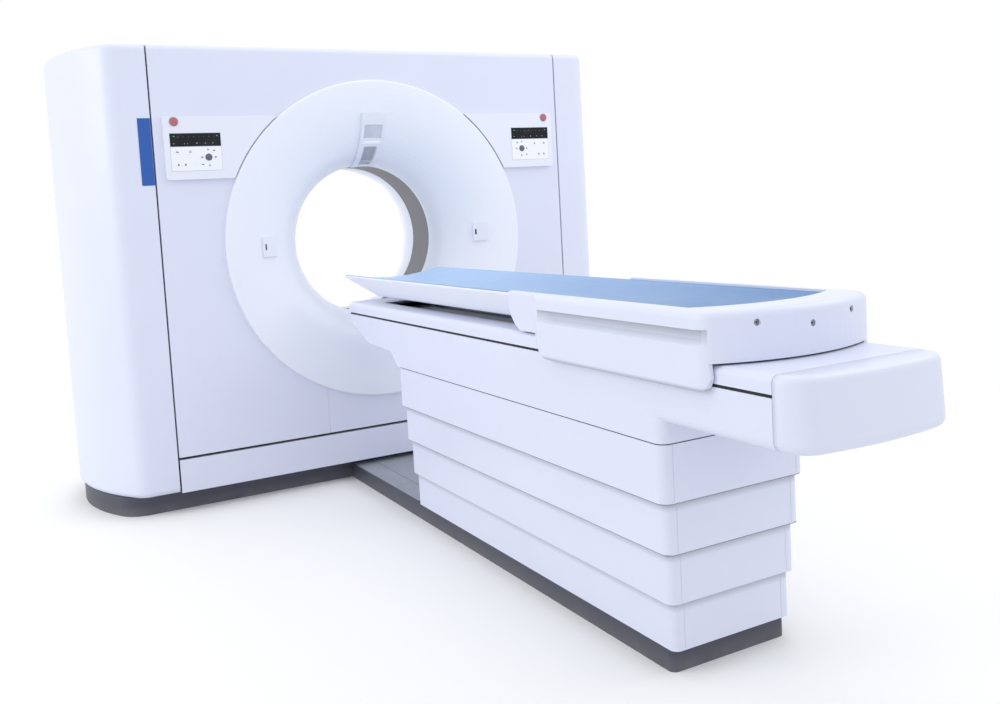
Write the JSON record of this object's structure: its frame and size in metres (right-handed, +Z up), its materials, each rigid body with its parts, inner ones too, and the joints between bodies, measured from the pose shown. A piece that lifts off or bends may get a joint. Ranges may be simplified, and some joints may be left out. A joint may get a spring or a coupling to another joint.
{
  "type": "ct scanner",
  "caption": "Computed tomography scanner with a ring shaped gantry on a plinth, a turning X-ray rotor and a lifting, sliding patient table.",
  "frame": {"origin": "on the floor under the bore axis, in the plane of the gantry's front panel, on the underside of the table plinth", "axes": "+Z up; the bore axis and the table run along Y, with the table towards -Y; +X is to the right of someone who faces the gantry from the table"},
  "size_m": [2.6796, 3.765, 1.971],
  "materials": {
    "cover_white": "satin moulded cover",
    "plate_white": "satin",
    "key_white": "smooth membrane",
    "display_black": "glossy",
    "groove_black": "matt",
    "stop_red": "satin",
    "label_blue": "satin",
    "window_grey": "matt",
    "plinth_dark": "fine texture",
    "channel_grey": "satin",
    "frame_steel": "satin",
    "machined_steel": "machined",
    "cast_aluminium": "cast",
    "unit_grey": "satin",
    "ring_brass": "turned",
    "brush_black": "matt",
    "belt_rubber": "matt",
    "top_shell": "satin",
    "mattress_blue": "coated fabric"
  },
  "bodies": {
    "base": {"gantry_plinth": "plinth_dark", "gantry_frame": "frame_steel", "front_panel": "cover_white", "kick_panel": "cover_white", "centre_cover": "cover_white", "rear_panel": "cover_white", "roof_panel": "cover_white", "left_side_cover": "cover_white", "right_side_cover": "cover_white", "front_funnel": "cover_white", "rear_funnel": "cover_white", "scan_window": "window_grey", "funnel_console": "plate_white", "left_light": "plate_white", "right_light": "plate_white", "label_strip": "label_blue", "left_control_plate": "plate_white", "right_control_plate": "plate_white", "left_display": "display_black", "right_display": "display_black", "left_keypad": "key_white", "right_keypad": "key_white", "bearing_outer_ring": "machined_steel", "brush_block": "brush_black", "drive_motor": "unit_grey", "drive_belt": "belt_rubber", "power_unit": "unit_grey", "table_plinth": "plinth_dark", "channel_covers": "channel_grey", "tier_4": "cover_white", "column_outers": "frame_steel"},
    "rotor": {"bearing_inner_ring": "machined_steel", "rotor_disc": "cast_aluminium", "xray_tube": "cast_aluminium", "collimator": "unit_grey", "detector": "cast_aluminium", "generator": "unit_grey", "tube_cooler": "cast_aluminium", "rotor_controller": "unit_grey", "slip_ring": "ring_brass"},
    "pulley": {"motor_shaft": "machined_steel", "drive_pulley": "machined_steel"},
    "couch": {"tier_1": "cover_white", "column_inners": "machined_steel", "couch_frame": "frame_steel", "couch_body": "cover_white", "couch_deck": "cover_white", "groove_strips": "groove_black", "end_cap": "cover_white", "table_rails": "machined_steel"},
    "skirt_2": {"tier_2": "cover_white"},
    "skirt_3": {"tier_3": "cover_white"},
    "columns_middle": {"column_middles": "machined_steel"},
    "carriage_body": {"rail_runners": "machined_steel", "carriage": "cover_white", "carriage_screws": "machined_steel", "tabletop": "top_shell", "mattress": "mattress_blue"},
    "left_stop": {"left_stop_button": "stop_red"},
    "right_stop": {"right_stop_button": "stop_red"}
  },
  "joints": [
    {"name": "rotor_spin", "type": "hinge", "parent": "base", "child": "rotor", "pos_m": [0, 0.5, 1.104], "axis": [0, 1, 0], "continuous": true},
    {"name": "pulley_spin", "type": "hinge", "parent": "base", "child": "pulley", "pos_m": [1.06, 0.45, 0.26], "axis": [0, 1, 0], "continuous": true},
    {"name": "lift", "type": "slide", "parent": "base", "child": "couch", "axis": [0, 0, 1], "range_m": [-0.38, 0]},
    {"name": "skirt_2_slide", "type": "slide", "parent": "base", "child": "skirt_2", "axis": [0, 0, 1], "range_m": [-0.2534, 0]},
    {"name": "skirt_3_slide", "type": "slide", "parent": "base", "child": "skirt_3", "axis": [0, 0, 1], "range_m": [-0.1267, 0]},
    {"name": "columns_middle_slide", "type": "slide", "parent": "base", "child": "columns_middle", "axis": [0, 0, 1], "range_m": [-0.19, 0]},
    {"name": "carriage_slide", "type": "slide", "parent": "couch", "child": "carriage_body", "axis": [0, 1, 0], "range_m": [0, 1.6]},
    {"name": "left_stop_press", "type": "slide", "parent": "base", "child": "left_stop", "axis": [0, 1, 0], "range_m": [0, 0.004], "stiffness_N_per_m": 2000},
    {"name": "right_stop_press", "type": "slide", "parent": "base", "child": "right_stop", "axis": [0, 1, 0], "range_m": [0, 0.004], "stiffness_N_per_m": 2000}
  ],
  "couplings": [
    {"joint": "pulley_spin", "follows": "rotor_spin", "ratio": 13.333},
    {"joint": "skirt_2_slide", "follows": "lift", "ratio": 0.66667},
    {"joint": "skirt_3_slide", "follows": "lift", "ratio": 0.33333},
    {"joint": "columns_middle_slide", "follows": "lift", "ratio": 0.5}
  ]
}
